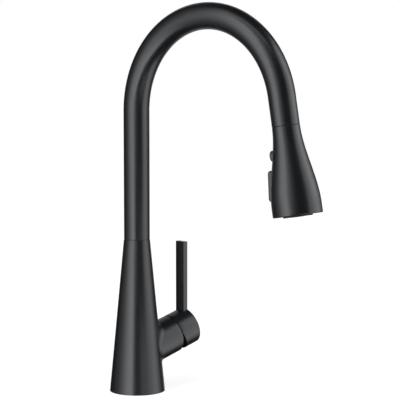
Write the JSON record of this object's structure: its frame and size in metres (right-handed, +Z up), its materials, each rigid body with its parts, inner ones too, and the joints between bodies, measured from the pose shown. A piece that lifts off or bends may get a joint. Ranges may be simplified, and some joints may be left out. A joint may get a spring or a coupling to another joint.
{
  "type": "pull-down kitchen faucet",
  "caption": "Single-lever kitchen faucet with a conical body, a swivelling arched spout and a pull-down spray head with a pause button and a rocker.",
  "frame": {"origin": "on the body's axis at the underside of its foot, where it stands on the deck", "axes": "+Z up along the body, +X towards the handle hub, -Y towards the sink"},
  "size_m": [0.1027, 0.2582, 0.4877],
  "materials": {
    "black_coat": "satin black powder coat on brass",
    "black_shell": "satin black painted plastic",
    "black_plastic": "fine-grained black moulded plastic",
    "nozzle_silicone": "soft matte black silicone",
    "seal_rubber": "black sealing rubber",
    "brass": "turned brass",
    "steel": "stainless steel",
    "hose_braid": "dark woven nylon over a rubber tube",
    "grey_plastic": "grey moulded plastic",
    "white_plastic": "white slippery plastic",
    "valve_ceramic": "lapped alumina ceramic"
  },
  "bodies": {
    "body": {"body_casting": "black_coat", "base_gasket": "seal_rubber", "shank": "brass", "base_screws": "steel", "rubber_washer": "seal_rubber", "metal_washer": "steel", "mounting_nut": "brass", "tightening_screws": "steel", "cartridge_base": "grey_plastic", "cartridge_sleeve": "grey_plastic", "port_seals": "seal_rubber", "fixed_disc": "valve_ceramic", "bonnet_nut": "brass", "swivel_washer": "black_plastic"},
    "valve_rotor": {"cartridge_rotor": "white_plastic", "stem_pin": "steel"},
    "valve_disc": {"moving_disc": "valve_ceramic", "disc_carrier": "grey_plastic"},
    "handle": {"handle_cap": "black_coat", "lever": "black_coat", "cartridge_stem": "brass", "set_screw": "steel"},
    "spout": {"spout_tube": "black_coat", "spout_spigot": "brass", "guide_bushes": "white_plastic", "retaining_clip": "steel", "dock_sleeve": "black_plastic", "pull_out_hose": "hose_braid", "hose_connector": "brass"},
    "hose_end": {"hose_ferrule": "steel", "hose_tail": "brass"},
    "spray_head": {"docking_nut": "black_plastic", "inlet_washer": "seal_rubber", "filter_screen": "steel", "check_cage": "grey_plastic", "check_spring": "steel", "spray_core": "grey_plastic", "spray_shell": "black_shell", "pause_spring": "steel", "rocker_pin": "steel", "outlet_chamber": "grey_plastic", "chamber_seal": "seal_rubber", "nozzle_mat": "nozzle_silicone", "face_plate": "black_shell", "face_ring": "black_shell", "aerator": "black_plastic"},
    "check_valve": {"check_poppet": "white_plastic"},
    "pause_control": {"pause_button": "black_plastic", "pause_stem": "brass"},
    "mode_rocker": {"rocker": "black_plastic"},
    "diverter": {"diverter_spool": "white_plastic", "spool_rings": "seal_rubber"}
  },
  "joints": [
    {"name": "spout_swivel", "type": "hinge", "parent": "body", "child": "spout", "pos_m": [0, 0, 0.16], "axis": [0, 0, 1], "continuous": true},
    {"name": "head_pull", "type": "slide", "parent": "spout", "child": "hose_end", "axis": [0.034, -0.1703, -0.9848], "range_m": [0, 0.18], "stiffness_N_per_m": 10, "springref_m": -0.4, "deforming": ["pull_out_hose"]},
    {"name": "head_spin", "type": "hinge", "parent": "hose_end", "child": "spray_head", "pos_m": [0.03812, -0.19078, 0.28302], "axis": [0.034, -0.1703, -0.9848], "continuous": true},
    {"name": "check_open", "type": "slide", "parent": "spray_head", "child": "check_valve", "axis": [0.034, -0.1703, -0.9848], "range_m": [0, 0.002], "stiffness_N_per_m": 60, "springref_m": -0.004, "deforming": ["check_spring"]},
    {"name": "pause_press", "type": "slide", "parent": "spray_head", "child": "pause_control", "axis": [0.3926, -0.9039, 0.1699], "range_m": [0, 0.002], "stiffness_N_per_m": 400, "springref_m": -0.003, "deforming": ["pause_spring"]},
    {"name": "rocker_tilt", "type": "hinge", "parent": "spray_head", "child": "mode_rocker", "pos_m": [0.03371, -0.18569, 0.22609], "axis": [0.9191, 0.3924, -0.0361], "range_deg": [0, 6]},
    {"name": "diverter_slide", "type": "slide", "parent": "spray_head", "child": "diverter", "axis": [0.034, -0.1703, -0.9848], "range_m": [0, 0.0012]},
    {"name": "temp_turn", "type": "hinge", "parent": "body", "child": "valve_rotor", "pos_m": [0.03194, 0, 0.05116], "axis": [0.9521, 0, 0.3057], "range_deg": [-45, 45]},
    {"name": "flow_tilt", "type": "hinge", "parent": "valve_rotor", "child": "handle", "pos_m": [0.03194, 0, 0.05116], "axis": [0, 1, 0], "range_deg": [0, 14]},
    {"name": "disc_shift", "type": "slide", "parent": "valve_rotor", "child": "valve_disc", "axis": [-0.3057, 0, 0.9521], "range_m": [0, 0.0015]}
  ],
  "couplings": [
    {"joint": "diverter_slide", "follows": "rocker_tilt", "m_per_rad": 0.0108},
    {"joint": "disc_shift", "follows": "flow_tilt", "m_per_rad": 0.0056}
  ]
}
